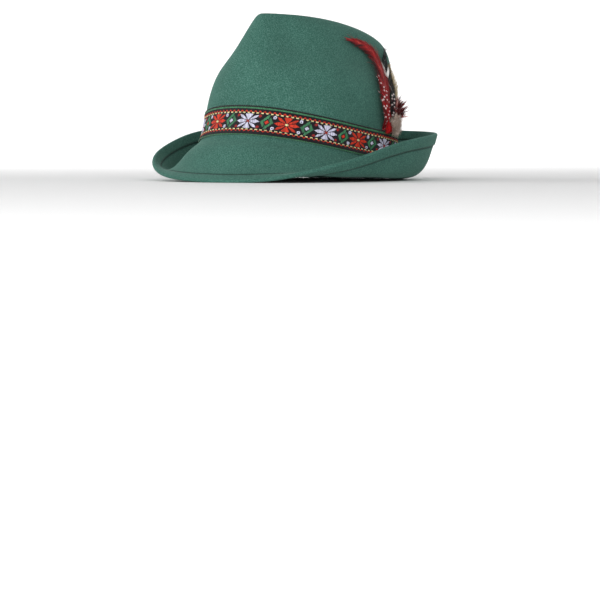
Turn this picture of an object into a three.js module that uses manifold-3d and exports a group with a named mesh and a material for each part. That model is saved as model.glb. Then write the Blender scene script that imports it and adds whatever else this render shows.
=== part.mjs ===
// Tyrolean hat of green felt with a woven ribbon and a plume of small feathers.
// Millimetres, +Z up. The front of the hat faces -Y and the wearer's left side is +X.
// The hat lies on the plane Z = 0 as it rests by itself, on the brim's front edge and its side rolls.

import * as THREE from 'three';
import { mergeVertices } from 'three/addons/utils/BufferGeometryUtils.js';
import { ConvexHull } from 'three/addons/math/ConvexHull.js';
import Module from 'manifold-3d';

const wasm = await Module();
wasm.setup();

// Sizes of the felt body
const headLength = 206;        // outside of the crown at its foot, front to back
const headWidth = 172;         // outside of the crown at its foot, side to side
const ovalExponent = 2.15;     // 2 is an ellipse, more is squarer
const crownHeight = 123;       // from the crown's foot to the front peak
const brimWidth = 60;          // flat width of the brim, from the crown's foot to its edge
const edgeLean = 0.08;         // how much lower the edge is on the wearer's left, a share of brimWidth
const feltThickness = 2.2;
const hemWidth = 9.5;          // edge of the brim that is folded under and stitched
const hemThickness = 1.8;      // what the fold adds under the brim
const restFlat = 0.5;          // how far the felt is flattened where the brim rests

// Sizes of the woven ribbon
const ribbonWidth = 28;
const ribbonThickness = 1.0;
const ribbonFoot = 1.6;        // height of its lower edge above the crown's foot, at the front and back
const ribbonDip = 6.5;         // how much lower it lies at the sides, where the brim rolls deeper
const lapAngle = 154;          // where the ribbon's ends lap over each other
const clearance = 0.3;         // between pieces that lie on each other

// Sizes of the plume on the wearer's left
const plumeHeight = 88;        // from the ribbon's upper edge to the top of the plume
const plumeAngle = 106;        // where the quills go down behind the ribbon
const quillWidth = 1.6;
const quillDepth = 16;         // how far the quills go down behind the ribbon
const quillRoom = 0.75;        // what the ribbon's bulge leaves free round the quills
const quillsHalf = 10;         // degrees from plumeAngle to the last quill behind the ribbon
const bulgeHalf = 21;          // degrees from plumeAngle to where the ribbon lies close again
const leaveAbove = 2.2;        // height over the ribbon where the feathers start to leave the felt
const leaveBy = 0.14;          // share of plumeHeight where they stand at their full distance
const vaneFrom = 0.08;         // share of plumeHeight over the ribbon where the vanes start
const quillGaps = 1.8;         // clearances between the felt and a quill
const quillTip = 0.3;          // how much of its width a feather keeps at the tip
const lockNarrow = 0.8;        // width of a vane between two locks, against a lock's
const lockReach = 0.9;         // how far a lock points forward, against the locks' spacing

// How finely the felt is faceted
const columns = 64;
const rowsBetweenRings = 2;
const ribbonRows = 3;

const up = new THREE.Vector3(0, 0, 1);
const degree = Math.PI / 180;

// Crown rings from the crease to the crown's foot. Heights are shares of crownHeight, front and back are shares
// of half of headLength, width is a share of half of headWidth, nose narrows the front end, and arch is how
// much higher the ring is halfway along.
const crownRings = [
  { name: 'crease', frontHeight: 0.88, backHeight: 0.84,
    front: 0.54, back: 0.54, width: 0.03, nose: 0, arch: 0 },
  { name: 'crease side', frontHeight: 0.93, backHeight: 0.90,
    front: 0.63, back: 0.64, width: 0.18, nose: 0.3, arch: 0.02 },
  { name: 'ridge inside', frontHeight: 0.99, backHeight: 0.95,
    front: 0.69, back: 0.73, width: 0.36, nose: 0.45, arch: 0.048 },
  { name: 'ridge', frontHeight: 1.00, backHeight: 0.965,
    front: 0.73, back: 0.82, width: 0.48, nose: 0.50, arch: 0.048 },
  { name: 'shoulder', frontHeight: 0.95, backHeight: 0.915,
    front: 0.79, back: 0.945, width: 0.63, nose: 0.42, arch: 0.035 },
  { name: 'upper wall', frontHeight: 0.75, backHeight: 0.72,
    front: 0.90, back: 0.955, width: 0.84, nose: 0.22, arch: 0 },
  { name: 'middle wall', frontHeight: 0.53, backHeight: 0.50,
    front: 0.95, back: 0.97, width: 0.94, nose: 0.08, arch: 0 },
  { name: 'ribbon top', frontHeight: 0.26, backHeight: 0.26,
    front: 0.975, back: 0.99, width: 0.98, nose: 0, arch: 0 },
  { name: 'foot', frontHeight: 0.01, backHeight: 0.01,
    front: 0.995, back: 0.995, width: 0.995, nose: 0, arch: 0 },
];

// Brim stations round the hat, from the front, 0, past the wearer's left, 90, to the back, 180.
// Out and rise are shares of brimWidth, out from the crown's foot: of the roll's lowest line, of the turn up
// and of the edge.
const brimStations = [
  { angle: 0,   rollOut: 0.20, rollRise: -0.18, turnOut: 0.42, turnRise: -0.55, edgeOut: 0.66, edgeRise: -0.74 },
  { angle: 30,  rollOut: 0.20, rollRise: -0.18, turnOut: 0.44, turnRise: -0.52, edgeOut: 0.68, edgeRise: -0.635 },
  { angle: 60,  rollOut: 0.22, rollRise: -0.27, turnOut: 0.48, turnRise: -0.52, edgeOut: 0.71, edgeRise: -0.234 },
  { angle: 90,  rollOut: 0.22, rollRise: -0.33, turnOut: 0.46, turnRise: -0.33, edgeOut: 0.62, edgeRise: 0.27 },
  { angle: 120, rollOut: 0.20, rollRise: -0.22, turnOut: 0.455, turnRise: -0.08, edgeOut: 0.58, edgeRise: 0.546 },
  { angle: 150, rollOut: 0.18, rollRise: -0.16, turnOut: 0.385, turnRise: 0.06, edgeOut: 0.53, edgeRise: 0.675 },
  { angle: 180, rollOut: 0.17, rollRise: -0.12, turnOut: 0.34, turnRise: 0.12, edgeOut: 0.50, edgeRise: 0.70 },
];

// Dents pressed into the crown's wall: where they are, how deep, and how far they spread.
const crownDents = [
  { angle: 38,   height: 0.80, depth: 0.06, angleSpread: 20, heightSpread: 0.18 },
  { angle: -38,  height: 0.80, depth: 0.06, angleSpread: 20, heightSpread: 0.18 },
  { angle: 100,  height: 0.72, depth: 0.05, angleSpread: 30, heightSpread: 0.12 },
  { angle: -100, height: 0.72, depth: 0.05, angleSpread: 30, heightSpread: 0.12 },
];

// A point on the unit oval, whose front is at angle 0.
function ovalPoint(angle) {
  const power = 2 / ovalExponent;
  const sine = Math.sin(angle), cosine = Math.cos(angle);
  return {
    x: Math.sign(sine) * Math.abs(sine) ** power,
    y: -Math.sign(cosine) * Math.abs(cosine) ** power,
  };
}

// A column of the brim's table at any angle, as a smooth curve through its stations.
function brimValue(column, angle) {
  const spacing = brimStations[1].angle;
  const last = brimStations.length - 1;
  const place = Math.abs(angle) / degree / spacing;
  const station = (i) => brimStations[i < 0 ? -i : i > last ? 2 * last - i : i][column];
  const i = Math.min(Math.floor(place), last - 1), t = place - i;
  const [a, b, c, d] = [station(i - 1), station(i), station(i + 1), station(i + 2)];
  return b + 0.5 * t * (c - a + t * (2 * a - 5 * b + 4 * c - d + t * (3 * (b - c) + d - a)));
}

function crownRingPoint(ring, angle) {
  const unit = ovalPoint(angle);
  const frontness = (1 - unit.y) / 2;
  const reach = unit.y < 0 ? ring.front : ring.back;
  const endHeight = THREE.MathUtils.lerp(ring.backHeight, ring.frontHeight, frontness);
  const height = endHeight + ring.arch * (1 - unit.y ** 2);
  return new THREE.Vector3(
    unit.x * ring.width * (1 - ring.nose * frontness ** 2) * headWidth / 2,
    unit.y * reach * headLength / 2,
    height * crownHeight,
  );
}

function brimPoint(angle, outColumn, riseColumn) {
  const unit = ovalPoint(angle);
  const foot = new THREE.Vector3(unit.x * headWidth / 2, unit.y * headLength / 2, 0);
  const outward = new THREE.Vector3(Math.sin(angle), -Math.cos(angle), 0);
  const lean = riseColumn === 'edgeRise' ? edgeLean * Math.sin(angle) : 0;
  return foot.addScaledVector(outward, brimValue(outColumn, angle) * brimWidth)
    .setZ((brimValue(riseColumn, angle) - lean) * brimWidth);
}

// The felt's upper surface at one angle, from the crease to the brim's edge.
function meridian(angle) {
  const points = crownRings.map((ring) => crownRingPoint(ring, angle));
  points.push(
    brimPoint(angle, 'rollOut', 'rollRise'),
    brimPoint(angle, 'turnOut', 'turnRise'),
    brimPoint(angle, 'edgeOut', 'edgeRise'),
  );
  return new THREE.CatmullRomCurve3(points, false, 'centripetal');
}

const footRow = (crownRings.length - 1) * rowsBetweenRings;
const brimRows = 6, hemRows = 2;
const lastRow = footRow + brimRows + hemRows;

function dentDepth(angle, height) {
  let depth = 0;
  for (const dent of crownDents) {
    const turn = Math.atan2(Math.sin(angle - dent.angle * degree), Math.cos(angle - dent.angle * degree));
    const across = turn / (dent.angleSpread * degree);
    const along = (height / crownHeight - dent.height) / dent.heightSpread;
    depth += dent.depth * headWidth * Math.exp(-(across ** 2) - along ** 2);
  }
  return depth;
}

// Where a row lies on a meridian: crown rows follow the rings, brim rows share the way from the crown's
// foot to the hem, and hem rows lie at their own distance from the edge.
function rowPoint(curve, row) {
  const footT = (crownRings.length - 1) / (curve.points.length - 1);
  const hemU = 1 - hemWidth / curve.getLength();
  if (row <= footRow) return curve.getPoint(row / rowsBetweenRings / (curve.points.length - 1));
  const hemT = curve.getUtoTmapping(hemU);
  const brimShare = (row - footRow) / brimRows;
  if (brimShare <= 1) return curve.getPoint(THREE.MathUtils.lerp(footT, hemT, brimShare));
  return curve.getPointAt(THREE.MathUtils.lerp(hemU, 1, (row - footRow - brimRows) / hemRows));
}

// The felt's upper surface as a grid of points, rings from the crease to the edge.
function upperSurface() {
  const rings = Array.from({ length: lastRow + 1 }, () => []);
  for (let i = 0; i < columns; i++) {
    const angle = i / columns * 2 * Math.PI;
    const signed = angle > Math.PI ? angle - 2 * Math.PI : angle;
    const curve = meridian(signed);
    rings.forEach((ring, row) => {
      const point = rowPoint(curve, row);
      const inward = new THREE.Vector3(-Math.sin(angle), Math.cos(angle), 0);
      if (row <= footRow) point.addScaledVector(inward, dentDepth(signed, point.z) * wallShare(row));
      ring.push(point);
    });
  }
  return rings;
}

// Dents work on the wall only, and fade out over the ridge.
function wallShare(row) {
  const ridgeRow = 3 * rowsBetweenRings;
  return THREE.MathUtils.smoothstep(row, ridgeRow - rowsBetweenRings, ridgeRow + rowsBetweenRings);
}

function gridNormals(rings) {
  return rings.map((ring, row) => ring.map((point, i) => {
    const around = ring[(i + 1) % ring.length].clone().sub(ring.at(i - 1));
    const down = rings[Math.min(row + 1, rings.length - 1)][i].clone().sub(rings[Math.max(row - 1, 0)][i]);
    return down.cross(around).normalize();
  }));
}

// One closed body from rings of points. Two open ends are closed across, a closed profile joins on itself.
// Each four-sided patch is split along its shorter diagonal.
function bodyFromRings(rings, closedProfile = false) {
  const count = rings[0].length;
  const points = rings.flat();
  const index = [];
  const last = closedProfile ? rings.length : rings.length - 1;
  for (let r = 0; r < last; r++) {
    const here = r * count, next = (r + 1) % rings.length * count;
    for (let i = 0; i < count; i++) {
      const j = (i + 1) % count;
      const [a, b, c, d] = [here + i, next + i, next + j, here + j];
      const alongFirst = points[a].distanceTo(points[c]) <= points[b].distanceTo(points[d]);
      index.push(...(alongFirst ? [a, b, c, a, c, d] : [a, b, d, b, c, d]));
    }
  }
  if (!closedProfile) {
    closeAcross(index, 0, count, false);
    closeAcross(index, (rings.length - 1) * count, count, true);
  }
  const geometry = new THREE.BufferGeometry();
  geometry.setAttribute('position', new THREE.Float32BufferAttribute(points.flatMap((p) => p.toArray()), 3));
  geometry.setIndex(index);
  return geometry;
}

// Closes a ring with a strip from its left half to its right half.
function closeAcross(index, start, count, flip) {
  for (let i = 0; i < count / 2; i++) {
    const left = start + i, leftNext = start + i + 1;
    const right = start + (count - i) % count, rightNext = start + count - i - 1;
    const faces = [[left, leftNext, rightNext], [left, rightNext, right]];
    for (const [a, b, c] of faces) {
      if (a !== b && b !== c && a !== c) index.push(...(flip ? [a, c, b] : [a, b, c]));
    }
  }
}

const upper = upperSurface();
const upperNormals = gridNormals(upper);
const hemRow = footRow + brimRows;
const shoulderRow = crownRings.findIndex((ring) => ring.name === 'shoulder') * rowsBetweenRings;

function offsetRing(row, distance) {
  return upper[row].map((point, i) => point.clone().addScaledVector(upperNormals[row][i], distance));
}

const foldTurns = [30, 90, 150];

// The rounded fold at the brim's edge, from the upper surface to the underside of the hem.
function edgeFold() {
  const radius = (feltThickness + hemThickness) / 2;
  return foldTurns.map((turn) => upper[lastRow].map((point, i) => {
    const normal = upperNormals[lastRow][i];
    const outward = point.clone().sub(upper[lastRow - 1][i]).normalize();
    return point.clone().addScaledVector(normal, radius * (Math.cos(turn * degree) - 1))
      .addScaledVector(outward, radius * Math.sin(turn * degree));
  }));
}

function feltGeometry() {
  const rings = [...upper, ...edgeFold()];
  for (let row = lastRow; row >= hemRow; row--) rings.push(offsetRing(row, -feltThickness - hemThickness));
  for (let row = hemRow; row >= 0; row--) rings.push(offsetRing(row, -feltThickness));
  return bodyFromRings(rings);
}

// A point on the felt's wall at one column and height, and the wall's normal there. Over the shoulder it goes
// straight on along the wall's slope, as a feather longer than the wall does.
function columnPoint(column, height) {
  const shoulder = upper[shoulderRow][column];
  if (height > shoulder.z) {
    const under = upper[shoulderRow + 1][column];
    return {
      point: under.clone().lerp(shoulder, (height - under.z) / (shoulder.z - under.z)),
      normal: upperNormals[shoulderRow][column].clone(),
    };
  }
  for (let row = shoulderRow; row < lastRow; row++) {
    const above = upper[row][column], below = upper[row + 1][column];
    if (above.z < height || below.z > height) continue;
    const share = (above.z - height) / (above.z - below.z);
    return {
      point: above.clone().lerp(below, share),
      normal: upperNormals[row][column].clone().lerp(upperNormals[row + 1][column], share),
    };
  }
  throw new Error('the wall does not reach ' + height);
}

// A point at a distance off the felt's wall, at any angle in degrees and height, and the normal there.
function wallPoint(angle, height, distance) {
  const place = ((angle / 360 * columns) % columns + columns) % columns;
  const column = Math.floor(place);
  const here = columnPoint(column, height), next = columnPoint((column + 1) % columns, height);
  const normal = here.normal.lerp(next.normal, place - column).normalize();
  return { point: here.point.lerp(next.point, place - column).addScaledVector(normal, distance), normal };
}

// How far the ribbon stands off the felt: it lies close, and bulges over the quills.
function ribbonLift(angle) {
  const fromQuills = Math.abs(angle - plumeAngle);
  const close = THREE.MathUtils.smoothstep(fromQuills, quillsHalf, bulgeHalf);
  return clearance + (quillWidth + quillRoom) * (1 - close);
}

// Height of the ribbon's upper edge at an angle in degrees.
function ribbonTop(angle) {
  return ribbonFoot + ribbonWidth - ribbonDip * Math.sin(angle * degree) ** 2;
}

function ribbonGeometry() {
  const lapHalf = 360 / columns;
  const ringAt = (share, outside) => Array.from({ length: columns }, (_, i) => {
    const angle = i / columns * 360;
    const lapped = Math.abs(angle - lapAngle) < lapHalf ? ribbonThickness * 2 : ribbonThickness;
    const lift = ribbonLift(angle) + (outside ? lapped : 0);
    return wallPoint(angle, ribbonTop(angle) - share * ribbonWidth, lift).point;
  });
  const shares = Array.from({ length: ribbonRows + 1 }, (_, row) => row / ribbonRows);
  const outside = shares.map((share) => ringAt(share, true));
  const inside = shares.map((share) => ringAt(share, false)).reverse();
  return bodyFromRings([...outside, ...inside], true);
}

// Flat feathers. Root and tip are angles round the hat, bend is how late a feather leaves its root's angle and
// arch how soon it stops rising. Sway is how many degrees its lower part bows to the back, and bow how far its
// middle stands off. Top, lift, bow and width are shares of plumeHeight. Cup is how far the vane's edges turn
// away from the felt, and turn how far the vane turns to the front. Taper is low for a pointed tip and high for
// a round one.
const feathers = [
  { name: 'red_tuft', color: 0x7a1418, root: 98.2, tip: 96, bend: 1.0, arch: 1, sway: 0, bow: 0,
    top: 0.20, lift: 0.094, width: 0.100, cup: -0.1, turn: 0, taper: 3.0, locks: 4 },
  { name: 'red_dotted_feather', color: 0x8c1a20, root: 100.8, tip: 95, bend: 0.5, arch: 1, sway: 0, bow: 0,
    top: 0.56, lift: 0.068, width: 0.165, cup: -0.1, turn: 0, taper: 4.0, locks: 9 },
  { name: 'red_hackle', color: 0xa3262a, root: 103.4, tip: 80, bend: 6.0, arch: 2, sway: -4.2, bow: 0.035,
    top: 0.93, lift: 0.030, width: 0.170, cup: -0.1, turn: 0, taper: 5.0, locks: 14 },
  { name: 'black_dotted_feather', color: 0x2a2628, root: 105.4, tip: 102, bend: 0.8, arch: 1, sway: 0, bow: 0,
    top: 0.42, lift: 0.096, width: 0.155, cup: -0.1, turn: 0, taper: 4.0, locks: 8 },
  { name: 'black_hackle', color: 0x1f2020, root: 107.6, tip: 117, bend: 2.2, arch: 1, sway: 0, bow: 0,
    top: 0.96, lift: 0.033, width: 0.140, cup: 0.1, turn: 0.6, taper: 4.0, locks: 13 },
  { name: 'tan_feather', color: 0x9a8a6a, root: 112.8, tip: 125, bend: 3.0, arch: 1, sway: 0, bow: 0.003,
    top: 0.82, lift: 0.010, width: 0.180, cup: 0.1, turn: 0.3, taper: 4.5, locks: 10 },
];
const swayEnd = 0.55;          // share of a feather over the ribbon where its sway ends
const turnFrom = 0.3;          // shares of a vane where its turn begins and is complete
const turnBy = 0.6;

// Tufts whose locks spread from an upright core. Angle, rise and lift place the core's middle, and the sizes
// are shares of plumeHeight: half of the core's width, thickness and height, and a lock's length. Leave is
// where the stem leaves the wall.
const tufts = [
  { name: 'grey_down', color: 0x77685e, root: 110.0, angle: 110.0, leave: 0.03, rise: 0.104, lift: 0.056,
    wide: 0.050, thick: 0.026, tall: 0.085, lock: 0.065, locks: 18, out: 0.5 },
  { name: 'red_fluff', color: 0x6e2326, root: 116.2, angle: 111.5, leave: 0.08, rise: 0.280, lift: 0.066,
    wide: 0.040, thick: 0.028, tall: 0.065, lock: 0.10, locks: 18, out: 0.7 },
];

const plumeFoot = ribbonTop(plumeAngle);
const quillLift = quillGaps * clearance + quillWidth / 2;

// The line of a feather's quill, from behind the ribbon to its tip.
function quillLine(feather) {
  const behind = 3, steps = 12;
  const stations = [];
  for (let i = 0; i < behind; i++) {
    stations.push(wallPoint(feather.root, plumeFoot - quillDepth * (1 - i / behind), quillLift));
  }
  for (let i = 0; i <= steps; i++) {
    const t = i / steps;
    const rise = (1 - (1 - t) ** feather.arch) * feather.top * plumeHeight;
    const sway = feather.sway * Math.sin(Math.PI * Math.min(1, t / swayEnd)) ** 2;
    const angle = THREE.MathUtils.lerp(feather.root, feather.tip, t ** feather.bend) + sway;
    const out = THREE.MathUtils.smoothstep(rise, leaveAbove, leaveBy * plumeHeight);
    const lift = out * feather.lift + feather.bow * Math.sin(Math.PI * t) ** 2;
    stations.push(wallPoint(angle, plumeFoot + rise, quillLift + lift * plumeHeight));
  }
  return stations;
}

// A flat feather: a quill with a vane on both sides that ends in pointed locks.
function featherGeometry(feather) {
  const line = quillLine(feather);
  const curve = new THREE.CatmullRomCurve3(line.map((station) => station.point));
  const bare = quillDepth + vaneFrom * plumeHeight, length = curve.getLength();
  const spacing = (length - bare) / (2 * feather.locks);
  const places = [0, quillDepth / 2 / length, (quillDepth + 1) / length, bare / length];
  for (let k = 1; k < 2 * feather.locks; k++) places.push((bare + k * spacing) / length);
  places.push(1);
  const rings = places.map((u, ring) => {
    const along = Math.max(0, (u * length - bare) / (length - bare));
    const point = curve.getPointAt(u), tangent = curve.getTangentAt(u);
    const place = curve.getUtoTmapping(u) * (line.length - 1);
    const near = Math.min(Math.floor(place), line.length - 2);
    const normal = line[near].normal.clone().lerp(line[near + 1].normal, place - near);
    const side = tangent.clone().cross(normal).normalize();
    normal.crossVectors(side, tangent).normalize();
    const shape = THREE.MathUtils.smoothstep(along, 0, 0.4) * (1 - along ** feather.taper);
    const full = feather.width * plumeHeight * shape;
    const isLock = ring > 3 && ring % 2 === 1;
    const half = Math.max(quillWidth, full * (isLock ? 1 : lockNarrow)) / 2 * (u === 1 ? quillTip : 1);
    const forward = isLock && u < 1 ? lockReach * spacing : 0;
    const thick = quillWidth / 2 * (1 - 0.7 * along);
    const turn = feather.turn * THREE.MathUtils.smoothstep(along, turnFrom, turnBy);
    const edge = (sign) => point.clone().addScaledVector(side, sign * half)
      .addScaledVector(tangent, forward).addScaledVector(normal, (feather.cup + sign * turn) * half);
    return [
      edge(-1),
      point.clone().addScaledVector(normal, -thick),
      edge(1),
      point.clone().addScaledVector(normal, thick),
    ];
  });
  return bodyFromRings(rings);
}

// A closed tapered tube of five sides along points, with a radius for each.
function taperedTube(points, radii) {
  const curve = new THREE.CatmullRomCurve3(points);
  const frames = curve.computeFrenetFrames(points.length - 1);
  const sides = 5;
  const positions = [];
  points.forEach((point, k) => {
    for (let i = 0; i < sides; i++) {
      const turn = i / sides * 2 * Math.PI;
      positions.push(...point.clone()
        .addScaledVector(frames.normals[k], radii[k] * Math.cos(turn))
        .addScaledVector(frames.binormals[k], radii[k] * Math.sin(turn)).toArray());
    }
  });
  const index = [];
  for (let k = 0; k < points.length - 1; k++) {
    for (let i = 0; i < sides; i++) {
      const j = (i + 1) % sides, a = k * sides, b = a + sides;
      index.push(a + i, a + j, b + j, a + i, b + j, b + i);
    }
  }
  const last = (points.length - 1) * sides;
  for (let i = 1; i < sides - 1; i++) index.push(0, i + 1, i, last, last + i, last + i + 1);
  const geometry = new THREE.BufferGeometry();
  geometry.setAttribute('position', new THREE.Float32BufferAttribute(positions, 3));
  geometry.setIndex(index);
  return geometry;
}

function toSolid(geometry) {
  const bare = new THREE.BufferGeometry().setAttribute('position', geometry.getAttribute('position'));
  bare.setIndex(geometry.index);
  const merged = mergeVertices(bare, 1e-4);
  return new wasm.Manifold(new wasm.Mesh({
    numProp: 3,
    vertProperties: merged.getAttribute('position').array,
    triVerts: new Uint32Array(merged.index.array),
  }));
}

function fromSolid(solid) {
  const mesh = solid.getMesh();
  const geometry = new THREE.BufferGeometry();
  geometry.setAttribute('position', new THREE.BufferAttribute(new Float32Array(mesh.vertProperties), 3));
  geometry.setIndex(new THREE.BufferAttribute(new Uint32Array(mesh.triVerts), 1));
  return geometry;
}

// A tuft: a stem from behind the ribbon, a flattened core, and pointed locks fanned out from it.
function tuftGeometry(tuft) {
  const size = (share) => share * plumeHeight;
  const heart = wallPoint(tuft.angle, plumeFoot + size(tuft.rise), quillLift + size(tuft.lift));
  const stemPoints = [
    wallPoint(tuft.root, plumeFoot - quillDepth, quillLift).point,
    wallPoint(tuft.root, plumeFoot - quillDepth / 2, quillLift).point,
    wallPoint(tuft.root, plumeFoot + ribbonThickness, quillLift).point,
    wallPoint(tuft.root, plumeFoot + size(tuft.leave), quillLift + size(0.75 * tuft.lift)).point,
    heart.point,
  ];
  const back = up.clone().cross(heart.normal).normalize();
  const along = heart.normal.clone().cross(back).normalize();
  const core = new THREE.IcosahedronGeometry(1, 1);
  core.scale(size(tuft.thick), size(tuft.wide), size(tuft.tall));
  core.applyMatrix4(new THREE.Matrix4().makeBasis(heart.normal, back, along).setPosition(heart.point));
  const solids = [toSolid(taperedTube(stemPoints, stemPoints.map(() => quillWidth / 2))), toSolid(core)];
  for (let i = 0; i < tuft.locks; i++) {
    const level = THREE.MathUtils.lerp(-0.8, 0.8, i / (tuft.locks - 1));
    const fan = 2 * ((i * 0.618) % 1) - 1, outward = (i * 0.382) % 1;
    const within = Math.sqrt(1 - level ** 2);
    const direction = along.clone().multiplyScalar(0.5 + 0.4 * level)
      .addScaledVector(back, fan).addScaledVector(heart.normal, tuft.out * outward).normalize();
    const start = heart.point.clone().addScaledVector(along, size(level * tuft.tall))
      .addScaledVector(back, size(0.5 * fan * within * tuft.wide));
    const length = size(tuft.lock) * (0.8 + 0.4 * ((i * 0.73) % 1));
    const line = [0, 0.4, 0.75, 1].map((t) => start.clone()
      .addScaledVector(direction, t * length).addScaledVector(heart.normal, 0.15 * length * t * t));
    const radii = [0.75, 0.7, 0.45, 0.08].map((share) => share * size(tuft.thick) * within);
    solids.push(toSolid(taperedTube(line, radii)));
  }
  return fromSolid(wasm.Manifold.union(solids));
}

const nearlyDown = -0.8;

// How the hat lies: the face of its convex hull that its weight falls into becomes the floor.
function restingPose() {
  const points = upper.flat().concat(...edgeFold());
  for (let row = lastRow; row >= hemRow; row--) points.push(...offsetRing(row, -feltThickness - hemThickness));
  for (let row = hemRow; row >= footRow; row--) points.push(...offsetRing(row, -feltThickness));
  const weight = new THREE.Vector3();
  let area = 0;
  for (let row = 0; row < lastRow; row++) {
    for (let i = 0; i < columns; i++) {
      const a = upper[row][i], b = upper[row + 1][i], c = upper[row][(i + 1) % columns];
      const patch = b.clone().sub(a).cross(c.clone().sub(a)).length();
      weight.addScaledVector(a, patch);
      area += patch;
    }
  }
  weight.divideScalar(area);
  const hull = new ConvexHull().setFromPoints(points);
  let best = null;
  for (const face of hull.faces) {
    if (face.normal.z > nearlyDown) continue;
    const foot = weight.clone().addScaledVector(face.normal, -face.distanceToPoint(weight));
    let inside = true;
    let edge = face.edge;
    do {
      const start = edge.tail().point, end = edge.head().point;
      const side = end.clone().sub(start).cross(foot.clone().sub(start)).dot(face.normal);
      if (side < -1) inside = false;
      edge = edge.next;
    } while (edge !== face.edge);
    if (inside && (!best || face.normal.z < best.normal.z)) best = face;
  }
  return best.normal.clone().negate();
}

const hat = new THREE.Group();

function addPiece(name, geometry, color, roughness) {
  const material = new THREE.MeshStandardMaterial({ color, roughness, metalness: 0 });
  const piece = new THREE.Mesh(geometry, material);
  piece.name = name;
  hat.add(piece);
  return piece;
}

const felt = addPiece('felt_body', feltGeometry(), 0x4b7568, 0.95);
addPiece('hat_band', ribbonGeometry(), 0x2b2526, 0.7);
for (const feather of feathers) addPiece(feather.name, featherGeometry(feather), feather.color, 0.6);
for (const tuft of tufts) addPiece(tuft.name, tuftGeometry(tuft), tuft.color, 0.8);

// The hat lies centred on the origin, sunk by what is flattened, and the felt below the floor is cut off.
hat.quaternion.setFromUnitVectors(restingPose(), up);
hat.updateMatrixWorld(true);
const box = new THREE.Box3().setFromObject(hat, true);
hat.position.set(-(box.min.x + box.max.x) / 2, -(box.min.y + box.max.y) / 2, -box.min.z - restFlat);
hat.updateMatrixWorld(true);
const floorSize = 2 * headLength + 4 * brimWidth, floorDepth = 20;
const floor = new THREE.BoxGeometry(floorSize, floorSize, floorDepth);
floor.translate(0, 0, -floorDepth / 2);
floor.applyMatrix4(hat.matrixWorld.clone().invert());
felt.geometry = fromSolid(toSolid(felt.geometry).subtract(toSolid(floor)));

export default hat;
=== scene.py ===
import math
import random

import bpy
from mathutils import Matrix, Vector
from mathutils.bvhtree import BVHTree
from mathutils.kdtree import KDTree


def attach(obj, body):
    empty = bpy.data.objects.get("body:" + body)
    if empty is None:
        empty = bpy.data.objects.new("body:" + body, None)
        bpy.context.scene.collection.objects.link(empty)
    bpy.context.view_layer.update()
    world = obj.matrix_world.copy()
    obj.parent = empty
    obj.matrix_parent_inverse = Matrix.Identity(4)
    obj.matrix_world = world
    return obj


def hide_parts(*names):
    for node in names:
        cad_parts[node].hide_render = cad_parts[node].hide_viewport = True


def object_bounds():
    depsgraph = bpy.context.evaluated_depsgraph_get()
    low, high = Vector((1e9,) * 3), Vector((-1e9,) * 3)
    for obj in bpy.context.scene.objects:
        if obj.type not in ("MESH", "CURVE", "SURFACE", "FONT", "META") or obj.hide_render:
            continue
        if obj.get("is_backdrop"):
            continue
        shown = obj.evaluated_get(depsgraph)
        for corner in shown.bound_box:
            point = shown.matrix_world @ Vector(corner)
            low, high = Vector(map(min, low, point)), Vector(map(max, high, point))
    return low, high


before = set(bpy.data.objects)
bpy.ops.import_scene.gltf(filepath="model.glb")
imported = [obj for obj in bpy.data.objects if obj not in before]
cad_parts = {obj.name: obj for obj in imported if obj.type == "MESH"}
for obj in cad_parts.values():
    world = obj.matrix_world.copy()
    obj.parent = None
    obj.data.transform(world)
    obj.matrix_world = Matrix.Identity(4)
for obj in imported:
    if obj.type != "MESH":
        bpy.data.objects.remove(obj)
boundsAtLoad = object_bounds()

# how the hat lies, and the sizes in metres that the pieces on it follow
hat = {
    "tilt": -8.71,  # degrees about X, the front is up
    "shift": (0, 0.0034, 0.0262),
    "headLength": 0.206,
    "headWidth": 0.172,
    "ovalExponent": 2.15,
    "crownHeight": 0.123,
    "feltThickness": 0.0022,
    "hemFold": 0.002,
    "gap": 0.0003,  # between the felt and the ribbon
    "hiddenBelow": 0.045,  # up to this height the brim hides the wall from outside
    # height as a share of the crown, then how wide and how long the wall is there
    "wall": [
        (0.0, 0.995, 0.995),
        (0.26, 0.98, 0.99),
        (0.5, 0.94, 0.97),
        (0.72, 0.84, 0.955),
        (0.94, 0.63, 0.945),
    ],
}
toWorld = Matrix.Translation(hat["shift"]) @ Matrix.Rotation(math.radians(hat["tilt"]), 4, "X")
toHat = toWorld.inverted()
hatUp = (toWorld.to_3x3() @ Vector((0, 0, 1))).normalized()


def mix(a, b, t):
    return a + (b - a) * t


def smooth(value, low, high):
    t = min(1.0, max(0.0, (value - low) / (high - low)))
    return t * t * (3 - 2 * t)


def linear(r, g, b):
    # a colour as it shows on a screen, 0 to 255, in the values that Blender shades with
    shares = [c / 255 for c in (r, g, b)]
    return tuple(c / 12.92 if c < 0.0404 else ((c + 0.055) / 1.055) ** 2.4 for c in shares) + (1.0,)


def useOnly(obj):
    bpy.ops.object.select_all(action="DESELECT")
    obj.select_set(True)
    bpy.context.view_layer.objects.active = obj


def meshPiece(name, verts, faces, material):
    mesh = bpy.data.meshes.new(name)
    mesh.from_pydata([tuple(v) for v in verts], [], faces)
    mesh.validate()
    mesh.update()
    obj = bpy.data.objects.new(name, mesh)
    bpy.context.collection.objects.link(obj)
    obj.data.materials.append(material)
    mesh.shade_smooth()
    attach(obj, "root")
    return obj


def ringPoints(centre, across, upward, radius, sides):
    turns = [n / sides * 2 * math.pi for n in range(sides)]
    return [centre + (across * math.cos(t) + upward * math.sin(t)) * radius for t in turns]


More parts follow.
